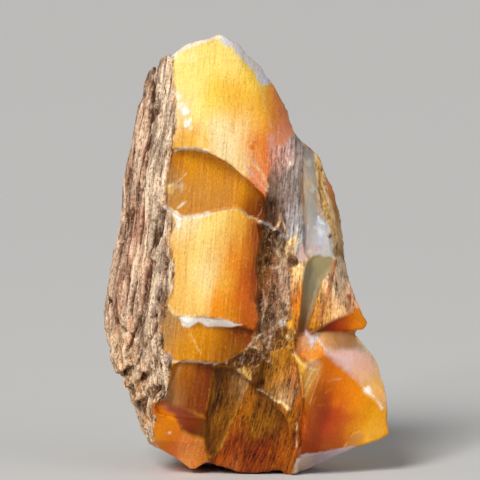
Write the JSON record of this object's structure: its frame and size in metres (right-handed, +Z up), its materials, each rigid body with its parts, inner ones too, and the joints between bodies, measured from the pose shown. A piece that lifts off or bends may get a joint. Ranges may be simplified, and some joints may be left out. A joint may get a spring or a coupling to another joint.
{
  "type": "wood opal specimen",
  "caption": "Upright piece of wood opal: glossy shell-like fracture faces in steps, with a rind of weathered wood on its left side and back; stands on a small flat spot",
  "frame": {"origin": "on the ground, below the middle of the bounding box", "axes": "+Z up along the grain of the wood; the stone is seen in the picture along +Y, with +X to the right"},
  "size_m": [0.071, 0.0452, 0.1092],
  "materials": {
    "wood_opal": "glossy fracture faces, dull rind"
  },
  "bodies": {
    "root": {"wood_opal": "wood_opal"}
  },
  "joints": []
}
